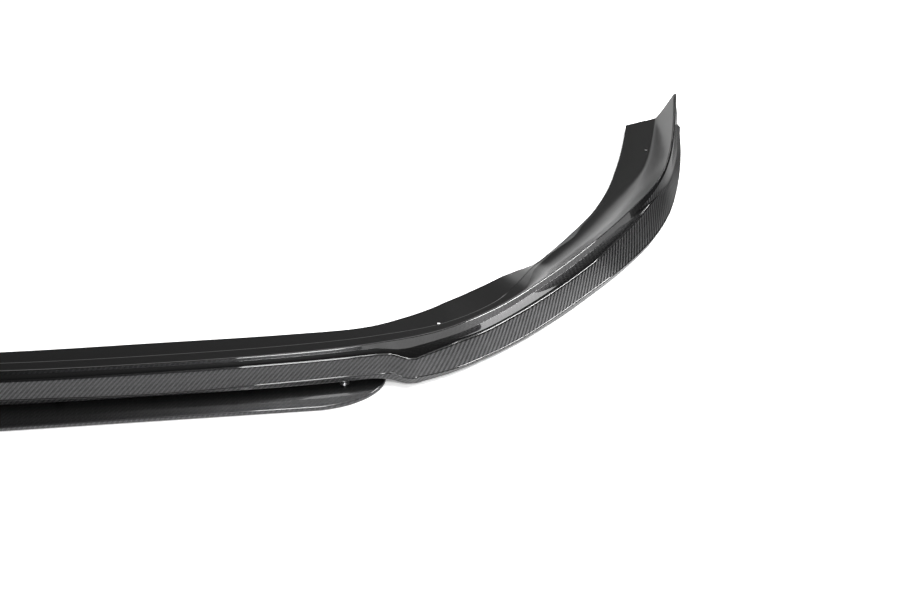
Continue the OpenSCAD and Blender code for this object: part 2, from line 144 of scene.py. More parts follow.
# Where the cove bends: its share of the way from the crest to the foot
COVE_BOW = wing(0.5, (350, 0.5), (600, 0.6), (700, 0.8), (WING_LEN, 0.85))
# How far the step is levelled out into the slope between foot and rear edge
LEVEL = wing(0, (150, 0), (250, 1), (WING_LEN, 1))
# How far the sections lean back into the cut of a wing's end
CUT_IN = wing(0, (WING_LEN - 135, 0), (WING_LEN, 1))
# How far the cloth runs ahead of the reference line past the kink, and its upright tows' lean in degrees
CLOTH_GAIN = wing(0, (-10, 0), (50, 12), (WING_LEN, 12))
CLOTH_LEAN = wing(0, (-10, 0), (60, 24.5), (WING_LEN, 24.5))
# How far the bead along the chin stands out from the face
BEAD_OUT = wing(1.5, (560, 1.5), (700, 0.1), (WING_LEN, 0.01))

# How far each corner of a wing's cut end lies before the tip
END_CUT = {"rear": 43, "step foot": 25, "step": 24, "foot": 15, "crest": 5, "rim": 0, "brow": 26, "chin": 28,
           "low": 28, "return": 30}
# Radius of the moulding's rounding at each corner, the share of the shorter side that it may take, and the
# least tangent of a corner's half angle that it allows for
ROUND_R = {"step foot": 0.8, "step": 4, "foot": 2.5, "crest": 2.6, "rim": 0.5, "brow": 4}
ROUND_ROOM = {"step foot": 0.25, "step": 0.7, "foot": 0.45, "crest": 0.6, "rim": 0.4, "brow": 0.65}
ROUND_SHARPEST = 0.05
ROUND_STEPS = 7
# The hollow ledge's bend: its share of the way from rim to brow, and of the rim's height over the brow
LEDGE_BEND = 0.5
LEDGE_SAG = 0.08
LEDGE_STEPS = 8
# The bead's arc, and how much of the face is left between the arc's start and the face's last row
BEAD_START = math.radians(80)
BEAD_END = math.radians(-8)
BEAD_LEAD = 0.2
BEAD_STEPS = 7
COVE_STEPS = 12
ROLL_STEPS = 7
# How much faster than evenly the cove's cut runs back from the foot to the crest
COVE_CUT_POWER = 1.6
# The mesh's sections: their distance in the middle, round the kink and along the wing, how far the close
# ones reach before and after the kink, and the least distance to the last one
CENTRE_PITCH = 10
KINK_PITCH = 2
WING_PITCH = 6
KINK_BEFORE = 20
KINK_AFTER = 60
LAST_SPAN = 4
# Edges between faces that turn by more than this many degrees stay sharp
CREASE = 38


def slope(track, i):
    """Slope of a track's smooth curve at its pair i: the harmonic mean of its two sides, as in the solid."""
    if i == 0 or i == len(track) - 1:
        return 0
    (x0, y0), (x1, y1), (x2, y2) = track[i - 1:i + 2]
    before = (y1 - y0) / (x1 - x0)
    after = (y2 - y1) / (x2 - x1)
    return 0 if before * after <= 0 else 2 * before * after / (before + after)


def along(track, s):
    """Value of a track at distance s from the middle plane."""
    if s <= track[0][0]:
        return track[0][1]
    if s >= track[-1][0]:
        return track[-1][1]
    i = max(n for n, pair in enumerate(track) if pair[0] <= s)
    (x0, y0), (x1, y1) = track[i:i + 2]
    w = x1 - x0
    u = (s - x0) / w
    rising = (1 + 2 * u) * (1 - u) ** 2 * y0 + u * (1 - u) ** 2 * w * slope(track, i)
    return rising + u * u * (3 - 2 * u) * y1 + u * u * (u - 1) * w * slope(track, i + 1)


def reference_line():
    """Points of the panel's reference line, PATH_STEP apart."""
    points = [Vector((0, SPINE_Y))]
    for n in range(1, int(LIP_LEN / PATH_STEP) + 3):
        h = math.radians(along(HEADING, (n - 0.5) * PATH_STEP))
        points.append(points[-1] + PATH_STEP * Vector((math.cos(h), math.sin(h))))
    return points


LINE = reference_line()


def place(s, d, z):
    """The point at distance s along the reference line, d inwards from it and z over the ground."""
    n = int(s / PATH_STEP)
    h = math.radians(along(HEADING, s))
    q = LINE[n] + (s - n * PATH_STEP) * Vector((math.cos(h), math.sin(h)))
    return Vector((q.x - d * math.sin(h), q.y + d * math.cos(h), z))


def bezier(a, b, c, t):
    """The point at share t of the curve that leaves a towards b and ends at c."""
    return (1 - t) ** 2 * a + 2 * t * (1 - t) * b + t * t * c


def corners(s):
    """The section's corners at distance s, from the rear edge over the crest to the rolled lower edge, as
    (name, point) pairs. A point is (inwards, up)."""
    rear = Vector((along(REAR_D, s), along(REAR_Z, s)))
    foot = Vector((along(FOOT_D, s), along(FOOT_Z, s)))
    crest = Vector((along(CREST_D, s), along(CREST_Z, s)))
    bend = Vector((crest.x + along(COVE_BOW, s) * (foot.x - crest.x), foot.y))
    step_d = along(STEP_D, s)
    ramp = (step_d - foot.x) / (rear.x - foot.x)
    mid_z = foot.y + ramp * (rear.y - foot.y)
    k = along(LEVEL, s)
    low = Vector((along(LOW_D, s), along(KEEL_Z, s) + EDGE_R))
    cove = [("cove", bezier(foot, bend, crest, n / COVE_STEPS)) for n in range(1, COVE_STEPS)]
    roll = [("roll", low + EDGE_R * Vector((1 - math.cos(t), -math.sin(t))))
            for t in (math.radians(90 * n / ROLL_STEPS) for n in range(1, ROLL_STEPS + 1))]
    return [
        ("rear", rear),
        ("step foot", Vector((step_d + STEP_W, rear.y * (1 - k) + mid_z * k))),
        ("step", Vector((step_d, foot.y * (1 - k) + mid_z * k))),
        ("foot", foot),
        *cove,
        ("crest", crest),
        ("rim", Vector((along(RIM_D, s), along(RIM_Z, s)))),
        ("brow", Vector((along(BROW_D, s), along(BROW_Z, s)))),
        ("chin", Vector((along(CHIN_D, s), along(CHIN_Z, s)))),
        ("low", low),
        *roll,
        ("return", low + Vector((EDGE_R + along(TURN_W, s), -EDGE_R))),
    ]


def rounded(a, b, c, name):
    """ROUND_STEPS + 1 points of the arc that rounds the corner b, of that name, between a and c."""
    to_a = (a - b).normalized()
    to_c = (c - b).normalized()
    half = 0.5 * to_a.angle(to_c)
    reach = ROUND_R[name] / max(math.tan(half), ROUND_SHARPEST)
    room = ROUND_ROOM[name] * min((a - b).length, (c - b).length)
    reach = min(reach, room)
    p = b + reach * to_a
    q = b + reach * to_c
    return [bezier(p, b, q, n / ROUND_STEPS) for n in range(ROUND_STEPS + 1)]


def ledge_rows(crest, rim, brow, chin):
    """The rim, the hollow ledge and the brow: the ledge falls steeply from the rim and ends nearly level."""
    bend = Vector((rim.x + LEDGE_BEND * (brow.x - rim.x), brow.y + LEDGE_SAG * (rim.y - brow.y)))
    upper = rounded(crest, rim, bend, "rim")
    lower = rounded(bend, brow, chin, "brow")
    middle = [bezier(upper[-1], bend, lower[0], n / LEDGE_STEPS) for n in range(1, LEDGE_STEPS)]
    return [("rim", p) for p in upper] + [("ledge", p) for p in middle] + [("brow", p) for p in lower]


def chin_bead(brow, chin, out):
    """The bead at the face's foot: it leaves the face, turns over and runs down into the lower edge."""
    r = out / (1 - math.cos(BEAD_START))
    centre = Vector((chin.x - out + r, chin.y - out))
    turns = [BEAD_START + (BEAD_END - BEAD_START) * n / BEAD_STEPS for n in range(BEAD_STEPS + 1)]
    arc = [centre + r * Vector((-math.cos(t), math.sin(t))) for t in turns]
    lead = chin + (arc[0].y - chin.y + BEAD_LEAD) * (brow - chin) / (brow.y - chin.y)
    return [lead] + arc


def upper_side(s):
    """The panel's outer skin at distance s, with its corners rounded: (corner's index, name, point) rows."""
    found = corners(s)
    at = {name: n for n, (name, point) in enumerate(found)}
    point_of = dict(found)
    foot = point_of["foot"]
    bend = Vector((point_of["crest"].x + along(COVE_BOW, s) * (foot.x - point_of["crest"].x), foot.y))
    over = rounded(bend, point_of["crest"], point_of["rim"], "crest")
    rows = []
    for n, (name, point) in enumerate(found):
        if name == "cove":
            rows.append((n, name, bezier(foot, bend, over[0], (n - at["foot"]) / COVE_STEPS)))
        elif name == "crest":
            rows += [(n, name, p) for p in over]
        elif name == "rim":
            ledge = ledge_rows(point_of["crest"], point, point_of["brow"], point_of["chin"])
            rows += [(at["brow" if row == "brow" else "rim"], row, p) for row, p in ledge]
        elif name == "brow":
            continue
        elif name == "chin":
            bead = chin_bead(point_of["brow"], point, along(BEAD_OUT, s))
            rows += [(n, name, p) for p in bead]
        elif name in ROUND_R:
            arc = rounded(found[n - 1][1], point, found[n + 1][1], name)
            rows += [(n, name, p) for p in arc]
        else:
            rows.append((n, name, point))
    return rows


def under_side(found):
    """The panel's inner skin: each corner one wall inside the outer one."""
    points = [point for name, point in found]
    sides = []
    for a, b in zip(points, points[1:]):
        t = (b - a).normalized()
        sides.append(Vector((-t.y, t.x)))
    rows = []
    for n, point in enumerate(points):
        before = sides[max(n - 1, 0)]
        after = sides[min(n, len(sides) - 1)]
        rows.append(point + WALL * (before + after) / (1 + before.dot(after)))
    return rows


def cut_of(name, n, found):
    """How far before the tip the corner n of a wing's cut end lies."""
    if name == "cove":
        first = [row[0] for row in found].index("cove")
        share = (n - first + 1) / COVE_STEPS
        return END_CUT["foot"] + share ** COVE_CUT_POWER * (END_CUT["crest"] - END_CUT["foot"])
    if name == "ledge":
        return END_CUT["rim"]
    if name == "roll":
        return END_CUT["low"]
    return END_CUT[name]


def stations():
    """Distances of the panel's sections, closer together round the kink."""
    kink_start = KINK_AT - KINK_BEFORE
    kink_end = KINK_AT + KINK_AFTER
    found = list(range(0, kink_start, CENTRE_PITCH))
    found += list(range(kink_start, kink_end + 1, KINK_PITCH))
    found += list(range(kink_end + WING_PITCH, LIP_LEN - LAST_SPAN, WING_PITCH))
    return found + [LIP_LEN]


def cloth_place(s, b):
    """Where a point lies on the cloth, b up the section from the chin. The cloth runs along the lip. Past
    the kink its upright tows lean towards the middle, as a draped twill does."""
    lean = math.radians(along(CLOTH_LEAN, s))
    return Vector((s + along(CLOTH_GAIN, s) + b * math.tan(lean), b / math.cos(lean)))


def panel_ring(s):
    """The panel's section at distance s: s, the rows of its outer and of its inner side, each a place, a
    cloth place and a section length from the crest, and the corner that each outer row belongs to."""
    found = corners(s)
    top = upper_side(s)
    back = along(CUT_IN, s)
    names = [name for n, name, p in top]
    last_chin = len(names) - 1 - names[::-1].index("chin")
    last_crest = names.index("rim") - 1
    lengths = [0]
    for row, after in zip(top, top[1:]):
        lengths.append(lengths[-1] + (after[2] - row[2]).length)
    outer = []
    for m, (n, name, p) in enumerate(top):
        at = s - back * cut_of(name, n, found)
        cloth = cloth_place(s, lengths[last_chin] - lengths[m])
        outer.append((place(at, p.x, p.y), cloth, lengths[m] - lengths[last_crest]))
    inner = []
    for n, p in enumerate(under_side(found)):
        at = s - back * cut_of(found[n][0], n, found)
        inner.append((place(at, p.x, p.y), Vector((s, p.x)), 0))
    return s, outer, inner, [n for n, name, p in top]


def mirrored(rows):
    """Rows of a section on the other side of the middle plane."""
    return [(Vector((-p.x, p.y, p.z)), Vector((-cloth.x, cloth.y)), t) for p, cloth, t in rows]


def panel_mesh():
    """The whole panel as one closed mesh, with its cloth and section coordinates."""
    half = [panel_ring(s) for s in stations()]
    other = [(-s, mirrored(outer), mirrored(inner), index) for s, outer, inner, index in reversed(half[1:])]
    rings = other + half
    verts = []
    data = []
    for s, outer, inner, index in rings:
        for p, cloth, t in outer + inner:
            verts.append(p * MM)
            data.append((cloth, s, t))
    n_out = len(rings[0][1])
    n_in = len(rings[0][2])
    ring = n_out + n_in
    index = rings[0][3]
    faces = []
    for j in range(len(rings) - 1):
        a = j * ring
        b = a + ring
        for m in range(n_out - 1):
            faces.append((a + m, a + m + 1, b + m + 1, b + m))
        for n in range(n_in - 1):
            faces.append((b + n_out + n, b + n_out + n + 1, a + n_out + n + 1, a + n_out + n))
        faces.append((b, b + n_out, a + n_out, a))
        faces.append((a + n_out - 1, a + ring - 1, b + ring - 1, b + n_out - 1))
    for a, turned in ((0, False), ((len(rings) - 1) * ring, True)):
        for m in range(n_out - 1):
            quad = [a + m, a + n_out + index[m], a + n_out + index[m + 1], a + m + 1]
            if index[m] == index[m + 1]:
                quad = [a + m, a + n_out + index[m], a + m + 1]
            faces.append(tuple(reversed(quad)) if turned else tuple(quad))
    return verts, data, faces


def add_mesh(name, verts, faces, data=None):
    """A mesh object; data gives each vertex its cloth place, distance along the lip and section length."""
    mesh = bpy.data.meshes.new(name)
    mesh.from_pydata(verts, [], faces)
    mesh.update()
    if data:
        cloth = mesh.uv_layers.new(name="cloth")
        section = mesh.uv_layers.new(name="section")
        for loop in mesh.loops:
            c, s, t = data[loop.vertex_index]
            cloth.data[loop.index].uv = (c.x, c.y)
            section.data[loop.index].uv = (s, t)
    piece = bpy.data.objects.new(name, mesh)
    bpy.context.scene.collection.objects.link(piece)
    return piece


def sharpen(piece, degrees):
    """Smooth shading with sharp edges where two faces meet at more than that angle."""
    mesh = piece.data
    mesh.shade_smooth()
    facing = {}
    for face in mesh.polygons:
        for key in face.edge_keys:
            facing.setdefault(key, []).append(face.normal.copy())
    limit = math.cos(math.radians(degrees))
    for edge in mesh.edges:
        pair = facing.get(edge.key, [])
        if len(pair) == 2 and pair[0].dot(pair[1]) < limit:
            edge.use_edge_sharp = True
    even = piece.modifiers.new("even_normals", "WEIGHTED_NORMAL")
    even.keep_sharp = True
    even.weight = 80


# Materials


def new_material(name):
    """A material, its nodes and its links."""
    material = bpy.data.materials.new(name)
    material.use_nodes = True
    return material, material.node_tree.nodes, material.node_tree.links


def calc(tree, kind, a, b=None, c=None):
    """A math node in a node tree; a, b and c are sockets or numbers."""
    node = tree.nodes.new("ShaderNodeMath")
    node.operation = kind
    for n, value in enumerate((a, b, c)):
        if value is None:
            continue
        if isinstance(value, (int, float)):
            node.inputs[n].default_value = value
        else:
            tree.links.new(value, node.inputs[n])
    return node.outputs[0]


# The cloth's tows: width, how far a tow's middle stands over its edges and how far it waves up and down
TOW = 1.95
TOW_RISE = 0.13
CRIMP_RISE = 0.05
# Shade of the darkest tow, the spread between tows, the shade left in the gaps and its rise out of them
TOW_SHADE = 0.85
TOW_SPREAD = 0.25
GAP_SHADE = 0.55
GAP_RISE = 0.5


def twill_group():
    """Two-by-two twill: which tow lies on top, its colour and its tilted normal, from cloth coordinates."""
    tree = bpy.data.node_groups.new("twill cloth", "ShaderNodeTree")
    face = tree.interface
    face.new_socket("Relief", in_out="INPUT", socket_type="NodeSocketFloat").default_value = 1
    face.new_socket("Contrast", in_out="INPUT", socket_type="NodeSocketFloat").default_value = 1
    face.new_socket("Shade", in_out="OUTPUT", socket_type="NodeSocketFloat")
    face.new_socket("Normal", in_out="OUTPUT", socket_type="NodeSocketVector")
    nodes, links = tree.nodes, tree.links
    given = nodes.new("NodeGroupInput")
    result = nodes.new("NodeGroupOutput")
    uv = nodes.new("ShaderNodeUVMap")
    uv.uv_map = "cloth"
    axes = nodes.new("ShaderNodeSeparateXYZ")
    links.new(uv.outputs[0], axes.inputs[0])
    u = calc(tree, "DIVIDE", axes.outputs[0], TOW)
    v = calc(tree, "DIVIDE", axes.outputs[1], TOW)
    column = calc(tree, "FLOOR", u)
    row = calc(tree, "FLOOR", v)
    fu = calc(tree, "FRACT", u)
    fv = calc(tree, "FRACT", v)
    warp_at = calc(tree, "FLOORED_MODULO", calc(tree, "ADD", calc(tree, "SUBTRACT", v, column), 1), 4)
    weft_at = calc(tree, "FLOORED_MODULO", calc(tree, "ADD", calc(tree, "SUBTRACT", u, row), 2), 4)
    warp_top = calc(tree, "LESS_THAN", warp_at, 2)
    weft_top = calc(tree, "SUBTRACT", 1, warp_top)

    def across(f):
        """Lean of a round-backed tow at share f of its width."""
        return calc(tree, "MULTIPLY_ADD", f, 8 * TOW_RISE / TOW, -4 * TOW_RISE / TOW)

    def crimp(at):
        """Lean along a tow that waves over two others and under two, at tows from the wave's start."""
        wave = calc(tree, "COSINE", calc(tree, "MULTIPLY", at, math.pi / 2))
        return calc(tree, "MULTIPLY", wave, -CRIMP_RISE * math.pi / (2 * TOW))

    def pick(on_warp, on_weft):
        """The one value where an upright tow lies on top and the other where a lengthwise one does."""
        warp_part = calc(tree, "MULTIPLY", on_warp, warp_top)
        return calc(tree, "ADD", warp_part, calc(tree, "MULTIPLY", on_weft, weft_top))

    lean_u = calc(tree, "MULTIPLY", pick(across(fu), crimp(weft_at)), given.outputs["Relief"])
    lean_v = calc(tree, "MULTIPLY", pick(crimp(warp_at), across(fv)), given.outputs["Relief"])
    # The colour that holds the leaning normal: half of each lean over a middle of a half
    lean = nodes.new("ShaderNodeCombineXYZ")
    links.new(calc(tree, "MULTIPLY_ADD", lean_u, 0.5, 0.5), lean.inputs[0])
    links.new(calc(tree, "MULTIPLY_ADD", lean_v, 0.5, 0.5), lean.inputs[1])
    lean.inputs[2].default_value = 1
    normal = nodes.new("ShaderNodeNormalMap")
    normal.uv_map = "cloth"
    links.new(lean.outputs[0], normal.inputs["Color"])
    tows = nodes.new("ShaderNodeTexWhiteNoise")
    tows.noise_dimensions = "2D"
    which = nodes.new("ShaderNodeCombineXYZ")
    links.new(pick(column, row), which.inputs[0])
    links.new(warp_top, which.inputs[1])
    links.new(which.outputs[0], tows.inputs["Vector"])
    tow_shade = calc(tree, "MULTIPLY_ADD", tows.outputs["Value"], TOW_SPREAD, TOW_SHADE)
    side = calc(tree, "MULTIPLY", calc(tree, "SUBTRACT", warp_top, 0.5), given.outputs["Contrast"])
    hollow = pick(calc(tree, "PINGPONG", fu, 0.5), calc(tree, "PINGPONG", fv, 0.5))
    rise = calc(tree, "MINIMUM", calc(tree, "MULTIPLY", hollow, 4), 1)
    edge = calc(tree, "MULTIPLY_ADD", rise, GAP_RISE, GAP_SHADE)
    shade = calc(tree, "MULTIPLY", calc(tree, "ADD", tow_shade, side), edge)
    links.new(shade, result.inputs["Shade"])
    links.new(normal.outputs[0], result.inputs["Normal"])
    return tree


# Reflectance of the fibres and of the black paint, how metallic the fibres are, and the roughness of
# fibres, paint, their clear coat and the paint's satin coat
LAMINATE = 0.17
BLACK = 0.005
FIBRE_METAL = 0.9
FIBRE_ROUGH = 0.32
PAINT_ROUGH = 0.34
COAT_ROUGH = 0.03
PAINT_COAT_ROUGH = 0.18
# Painted shade by facing: faces that look up or out get darker fibres, as if in shade. From which normal
# # a face looks up or out, how softly each sets in, and what outward faces lose
UP_AT = 0.58
UP_SOFT = 0.4
OUT_AT = 0.74
OUT_SOFT = 0.14
OUT_SHADE_LOSS = 0.75
# Relief and contrast of the weave: the share that always shows, and the share that follows the painted
# # shade by facing
RELIEF_LEAST = 0.2
RELIEF_RISE = 0.8
CONTRAST_LEAST = 0.4
CONTRAST_RISE = 0.6
# Painted sheen: the weave's contrast in the middle of the lip and the stronger contrast that the wings add,
# # where the fibres catch the light more, with the place and length of the change
MIDDLE_SHEEN_CONTRAST = 0.35
WING_SHEEN_CONTRAST = 0.85
WING_TURN_AT = KINK_AT + 210
WING_TURN = 400
# Section lengths from the crest: the paint's ragged end, its softness, and the end of the satin paint
PAINT_END = -1.2
PAINT_SOFT = 0.3
PAINT_RAGGED = 1.2
SATIN_END = -4.5


def section_value(tree, axis):
    """Socket for the distance along the lip (0) or the section length from the crest (1), in mm."""
    uv = tree.nodes.new("ShaderNodeUVMap")
    uv.uv_map = "section"
    axes = tree.nodes.new("ShaderNodeSeparateXYZ")
    tree.links.new(uv.outputs[0], axes.inputs[0])
    return axes.outputs[axis]


def step_at(tree, value, at, width):
    """0 below at, 1 above it, with a soft step of that width."""
    node = tree.nodes.new("ShaderNodeMapRange")
    node.inputs["From Min"].default_value = at - width / 2
    node.inputs["From Max"].default_value = at + width / 2
    tree.links.new(value, node.inputs["Value"])
    return node.outputs[0]


def painted_facing_shade(tree, least):
    """Painted shade by facing: full on faces that look forward, darker where they look up or out."""
    # The factor darkens the fibres' colour and lowers the weave's contrast and relief, as painted shade.
    facing = tree.nodes.new("ShaderNodeTexCoord")
    axes = tree.nodes.new("ShaderNodeSeparateXYZ")
    tree.links.new(facing.outputs["Normal"], axes.inputs[0])
    upward = step_at(tree, axes.outputs[2], UP_AT, UP_SOFT)
    outward = step_at(tree, calc(tree, "ABSOLUTE", axes.outputs[0]), OUT_AT, OUT_SOFT)
    up_shaded = calc(tree, "MULTIPLY_ADD", upward, least - 1, 1)
    return calc(tree, "MULTIPLY", up_shaded, calc(tree, "MULTIPLY_ADD", outward, -OUT_SHADE_LOSS, 1))


def laminate_skin(name, twill, painted_inside, relief, contrast, least):
    """Twill laminate under clear coat, with the weave's relief, its contrast and, in least, the share of the
    fibres' colour that the painted shade leaves on faces that look up. Where painted_inside is true, it is
    plain black inside the crest, to a ragged line."""
    material, nodes, links = new_material(name)
    tree = material.node_tree
    skin = nodes["Principled BSDF"]
    cloth = nodes.new("ShaderNodeGroup")
    cloth.node_tree = twill
    # Painted shade: the fibres are darker on faces that look up or out
    shade_by_facing = painted_facing_shade(tree, least)
    raised = calc(tree, "MULTIPLY_ADD", shade_by_facing, RELIEF_RISE * relief, RELIEF_LEAST * relief)
    links.new(raised, cloth.inputs["Relief"])
    # Painted sheen: the weave's contrast grows along the lip onto the wings and is highest on faces that
    # look forward
    turned = step_at(tree, calc(tree, "ABSOLUTE", section_value(tree, 0)), WING_TURN_AT, WING_TURN)
    sheen_along_lip = calc(tree, "MULTIPLY_ADD", turned, WING_SHEEN_CONTRAST * contrast, MIDDLE_SHEEN_CONTRAST * contrast)
    facing_contrast = calc(tree, "MULTIPLY_ADD", shade_by_facing, CONTRAST_RISE, CONTRAST_LEAST)
    links.new(calc(tree, "MULTIPLY", sheen_along_lip, facing_contrast), cloth.inputs["Contrast"])
    tint = nodes.new("ShaderNodeMix")
    tint.data_type = "RGBA"
    tint.inputs["A"].default_value = (0, 0, 0, 1)
    tint.inputs["B"].default_value = (LAMINATE, LAMINATE, LAMINATE * 1.02, 1)
    tint.clamp_factor = False
    # The fibres' colour carries the painted shade by facing
    links.new(calc(tree, "MULTIPLY", cloth.outputs["Shade"], shade_by_facing), tint.inputs["Factor"])
    skin.inputs["Coat Weight"].default_value = 1
    skin.inputs["Coat Roughness"].default_value = COAT_ROUGH
    skin.inputs["Coat IOR"].default_value = 1.5
    skin.inputs["Specular IOR Level"].default_value = 0.3
    if not painted_inside:
        links.new(tint.outputs["Result"], skin.inputs["Base Color"])
        links.new(cloth.outputs["Normal"], skin.inputs["Normal"])
        skin.inputs["Metallic"].default_value = FIBRE_METAL
        skin.inputs["Roughness"].default_value = FIBRE_ROUGH
        return material
    brush = nodes.new("ShaderNodeTexNoise")
    brush.inputs["Scale"].default_value = 0.35
    uv = nodes.new("ShaderNodeUVMap")
    uv.uv_map = "section"
    links.new(uv.outputs[0], brush.inputs["Vector"])
    ragged = calc(tree, "MULTIPLY_ADD", brush.outputs["Fac"], 2 * PAINT_RAGGED, -PAINT_RAGGED)
    bare = step_at(tree, calc(tree, "ADD", section_value(tree, 1), ragged), PAINT_END, PAINT_SOFT)
    colour = nodes.new("ShaderNodeMix")
    colour.data_type = "RGBA"
    colour.inputs["A"].default_value = (BLACK, BLACK, BLACK, 1)
    links.new(bare, colour.inputs["Factor"])
    links.new(tint.outputs["Result"], colour.inputs["B"])
    links.new(colour.outputs["Result"], skin.inputs["Base Color"])
    links.new(calc(tree, "MULTIPLY", bare, FIBRE_METAL), skin.inputs["Metallic"])
    rough = calc(tree, "MULTIPLY_ADD", bare, FIBRE_ROUGH - PAINT_ROUGH, PAINT_ROUGH)
    links.new(rough, skin.inputs["Roughness"])
    glossy = step_at(tree, section_value(tree, 1), SATIN_END, 1)
    coat = calc(tree, "MULTIPLY_ADD", glossy, COAT_ROUGH - PAINT_COAT_ROUGH, PAINT_COAT_ROUGH)
    links.new(coat, skin.inputs["Coat Roughness"])
    flat = nodes.new("ShaderNodeNewGeometry")
    turn = nodes.new("ShaderNodeMix")
    turn.data_type = "VECTOR"
    links.new(bare, turn.inputs["Factor"])
    links.new(flat.outputs["Normal"], turn.inputs["A"])
    links.new(cloth.outputs["Normal"], turn.inputs["B"])
    links.new(turn.outputs["Result"], skin.inputs["Normal"])
    return material


def inside_skin():
    """The moulding's unseen inner face: dull black with the cloth's texture just showing."""
    material, nodes, links = new_material("inside laminate")
    skin = nodes["Principled BSDF"]
    skin.inputs["Base Color"].default_value = (0.02, 0.02, 0.021, 1)
    skin.inputs["Roughness"].default_value = 0.5
    grain = nodes.new("ShaderNodeTexNoise")
    grain.inputs["Scale"].default_value = 900
    grain.inputs["Detail"].default_value = 3
    where = nodes.new("ShaderNodeTexCoord")
    links.new(where.outputs["Object"], grain.inputs["Vector"])
    bump = nodes.new("ShaderNodeBump")
    bump.inputs["Strength"].default_value = 0.35
    bump.inputs["Distance"].default_value = 0.0004
    links.new(grain.outputs["Fac"], bump.inputs["Height"])
    links.new(bump.outputs["Normal"], skin.inputs["Normal"])
    return material


def plated(name, colour, roughness, marks):
    """Turned or plated metal with fine marks, so many to a metre of height, and a slight change of shade."""
    material, nodes, links = new_material(name)
    tree = material.node_tree
    skin = nodes["Principled BSDF"]
    skin.inputs["Metallic"].default_value = 1
    where = nodes.new("ShaderNodeTexCoord")
    stretch = nodes.new("ShaderNodeMapping")
    stretch.inputs["Scale"].default_value = (300, 300, marks)
    links.new(where.outputs["Object"], stretch.inputs["Vector"])
    grain = nodes.new("ShaderNodeTexNoise")
    grain.inputs["Scale"].default_value = 1
    grain.inputs["Detail"].default_value = 2
    links.new(stretch.outputs[0], grain.inputs["Vector"])
    tint = nodes.new("ShaderNodeMix")
    tint.data_type = "RGBA"
    tint.inputs["A"].default_value = (*[0.8 * c for c in colour], 1)
    tint.inputs["B"].default_value = (*colour, 1)
    links.new(grain.outputs["Fac"], tint.inputs["Factor"])
    links.new(tint.outputs["Result"], skin.inputs["Base Color"])
    links.new(calc(tree, "MULTIPLY_ADD", grain.outputs["Fac"], 0.15, roughness), skin.inputs["Roughness"])
    bump = nodes.new("ShaderNodeBump")
    bump.inputs["Strength"].default_value = 0.25
    bump.inputs["Distance"].default_value = 0.0001
    links.new(grain.outputs["Fac"], bump.inputs["Height"])
    links.new(bump.outputs["Normal"], skin.inputs["Normal"])
    return material


# Pieces

TWILL = twill_group()
# In least, the share of the fibres' colour that the painted shade leaves on faces that look up
PANEL_SKIN = laminate_skin("panel laminate", TWILL, painted_inside=True,
                           relief=0.5, contrast=1.7, least=0.04)
BLADE_SKIN = laminate_skin("blade laminate", TWILL, painted_inside=False,
                           relief=0.4, contrast=0.9, least=0.2)
INSIDE = inside_skin()

# Mounting holes in the flange and the tabs, and the heights between which each cut runs
HOLE_D = 5.5
FLANGE_HOLE_AT = KINK_AT + 94
FLANGE_HOLE_EDGE = 0.3
FLANGE_CUT = (45, 66)
TAB_HOLE_AT = LIP_LEN - 107
TAB_HOLE_IN = 42
TAB_CUT = (4, 20)
# The blade's screws on one side, as (x, y), and their holes in the panel's return and the blade
SCREWS = [(0, 14), (143, 14), (286, 8)]
BORE_D = 5.5
RETURN_CUT = (CENTRE_GROUND - 3, CENTRE_GROUND + 5)
BELOW_BLADE = -3
OVER_BLADE = 12
COUNTER_D = 10.4
COUNTER_H = 3
SPOT_D = 16
BORE_SIDES = 48


def upright_rod(verts, faces, x, y, d, low, high):
    """Adds an upright closed cylinder to a mesh's lists."""
    first = len(verts)
    for z in (low, high):
        for n in range(BORE_SIDES):
            t = 2 * math.pi * n / BORE_SIDES
            verts.append(Vector((x + d / 2 * math.cos(t), y + d / 2 * math.sin(t), z)) * MM)
    faces.append(tuple(first + n for n in reversed(range(BORE_SIDES))))
    faces.append(tuple(first + BORE_SIDES + n for n in range(BORE_SIDES)))
    for n in range(BORE_SIDES):
        a = first + n
        b = first + (n + 1) % BORE_SIDES
        faces.append((a, b, b + BORE_SIDES, a + BORE_SIDES))


def bored(piece, rods):
    """Cuts upright rods, given as (x, y, diameter, low, high), out of a piece on both sides."""
    for x, y, d, low, high in rods:
        verts, faces = [], []
        for side in ((1,) if x == 0 else (-1, 1)):
            upright_rod(verts, faces, side * x, y, d, low, high)
        tool = add_mesh("bore_tool", verts, faces)
        tool.data.materials.append(INSIDE)
        cut = piece.modifiers.new("bore", "BOOLEAN")
        cut.operation = "DIFFERENCE"
        cut.solver = "EXACT"
        cut.object = tool
        shape = bpy.data.meshes.new_from_object(piece.evaluated_get(bpy.context.evaluated_depsgraph_get()))
        piece.modifiers.remove(cut)
        piece.data = shape
        bpy.data.objects.remove(tool)


